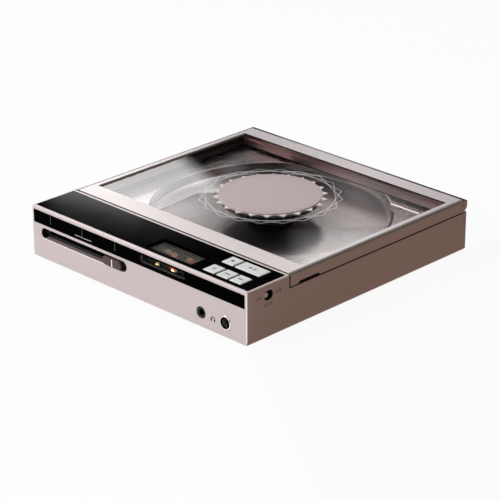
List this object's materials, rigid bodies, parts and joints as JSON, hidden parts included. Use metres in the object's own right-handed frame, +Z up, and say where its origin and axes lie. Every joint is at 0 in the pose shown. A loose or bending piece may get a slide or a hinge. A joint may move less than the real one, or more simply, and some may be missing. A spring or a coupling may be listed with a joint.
{
  "type": "tube cd player",
  "caption": "Flat square metal disc player with a hinged glass lid, a black front console with buttons, a slide control, tube windows and headphone jacks.",
  "frame": {"origin": "middle of the footprint, on the surface that the feet stand on", "axes": "+X to the right as seen from the front, +Y to the rear, +Z up"},
  "size_m": [0.15, 0.1582, 0.0282],
  "materials": {
    "rose_anodised_aluminium": "bead-blasted, rose-champagne anodised",
    "grey_deck_aluminium": "satin turned, clear anodised",
    "disc_cap_aluminium": "fine satin, rose anodised",
    "pale_trim_steel": "satin, thin sheet",
    "black_panel_glass": "polished, black printed at the back",
    "clear_lid_glass": "polished, clear tempered",
    "clear_window": "polished, faint dot print",
    "tube_glass": "clear blown glass",
    "lens_glass": "coated lens",
    "tube_metal": "dark nickel",
    "silver_buttons": "satin, clear anodised",
    "bronze_knob": "satin, brown anodised",
    "pale_knob": "moulded",
    "gold_ring": "polished, pale gold plated",
    "black_plastic": "moulded black",
    "black_rubber": "moulded",
    "circuit_board": "solder mask over glass fibre",
    "battery_wrap": "shrunk film",
    "plain_steel": "ground",
    "motor_can": "zinc plated",
    "bright_plating": "nickel plated"
  },
  "bodies": {
    "case": {"chassis_frame": "rose_anodised_aluminium", "bottom_cover": "rose_anodised_aluminium", "disc_deck": "grey_deck_aluminium", "top_panel": "black_panel_glass", "front_panel": "black_panel_glass", "tube_window_top": "clear_window", "tube_window_front": "clear_window", "tube_envelopes": "tube_glass", "tube_electrodes": "tube_metal", "jack_ring": "gold_ring", "slide_control": "black_plastic", "lock_switch": "black_plastic", "headphone_jack_small": "black_plastic", "headphone_jack_large": "black_plastic", "line_jack": "black_plastic", "tact_switches": "black_plastic", "rubber_feet": "black_rubber", "lid_bumpers": "black_rubber", "mech_dampers": "black_rubber", "tube_cradle": "black_rubber", "control_board": "circuit_board", "main_board": "circuit_board", "rear_board": "circuit_board", "battery_pack": "battery_wrap", "hinge_lugs": "plain_steel", "mech_plate": "plain_steel", "guide_rods": "plain_steel", "usb_socket": "plain_steel", "cover_screws": "plain_steel", "deck_screws": "plain_steel", "board_screws": "plain_steel", "spindle_motor": "motor_can", "sled_motor": "motor_can", "catch_magnets": "bright_plating"},
    "lid": {"lid_frame": "rose_anodised_aluminium", "lid_glass": "clear_lid_glass", "emblem_ring": "pale_trim_steel", "emblem_disc": "disc_cap_aluminium", "emblem_backing": "black_plastic", "lid_magnets": "bright_plating", "hinge_pins": "plain_steel"},
    "stop_key": {"button_stop": "silver_buttons"},
    "play_key": {"button_play": "silver_buttons"},
    "menu_key": {"button_menu": "silver_buttons"},
    "previous_key": {"button_previous": "silver_buttons"},
    "next_key": {"button_next": "silver_buttons"},
    "slider": {"slider_knob": "bronze_knob"},
    "lock": {"lock_knob": "pale_knob"},
    "spindle": {"turntable_hub": "black_plastic", "spindle_shaft": "plain_steel", "hub_balls": "bright_plating"},
    "sled": {"pickup_sled": "black_plastic", "pickup_lens": "lens_glass"},
    "screw": {"lead_screw": "plain_steel"}
  },
  "joints": [
    {"name": "lid_hinge", "type": "hinge", "parent": "case", "child": "lid", "pos_m": [0, 0.075, 0.0251], "axis": [-1, 0, 0], "range_deg": [0, 85]},
    {"name": "stop_press", "type": "slide", "parent": "case", "child": "stop_key", "axis": [0, 0, -1], "range_m": [0, 0.0005], "stiffness_N_per_m": 1500},
    {"name": "play_press", "type": "slide", "parent": "case", "child": "play_key", "axis": [0, 0, -1], "range_m": [0, 0.0005], "stiffness_N_per_m": 1500},
    {"name": "menu_press", "type": "slide", "parent": "case", "child": "menu_key", "axis": [0, 0, -1], "range_m": [0, 0.0005], "stiffness_N_per_m": 1500},
    {"name": "previous_press", "type": "slide", "parent": "case", "child": "previous_key", "axis": [0, 0, -1], "range_m": [0, 0.0005], "stiffness_N_per_m": 1500},
    {"name": "next_press", "type": "slide", "parent": "case", "child": "next_key", "axis": [0, 0, -1], "range_m": [0, 0.0005], "stiffness_N_per_m": 1500},
    {"name": "slider_slide", "type": "slide", "parent": "case", "child": "slider", "axis": [1, 0, 0], "range_m": [-0.046, 0.0013]},
    {"name": "lock_slide", "type": "slide", "parent": "case", "child": "lock", "axis": [0, 1, 0], "range_m": [0, 0.002]},
    {"name": "spindle_spin", "type": "hinge", "parent": "case", "child": "spindle", "pos_m": [0, 0.0144, 0.0172], "axis": [0, 0, 1], "continuous": true},
    {"name": "sled_slide", "type": "slide", "parent": "case", "child": "sled", "axis": [-0.7071, 0.7071, 0], "range_m": [0, 0.033]},
    {"name": "screw_spin", "type": "hinge", "parent": "case", "child": "screw", "pos_m": [0.01061, 0.02501, 0.0082], "axis": [-0.7071, 0.7071, 0], "continuous": true}
  ],
  "couplings": [
    {"joint": "screw_spin", "follows": "sled_slide", "rad_per_m": 2094.4}
  ]
}
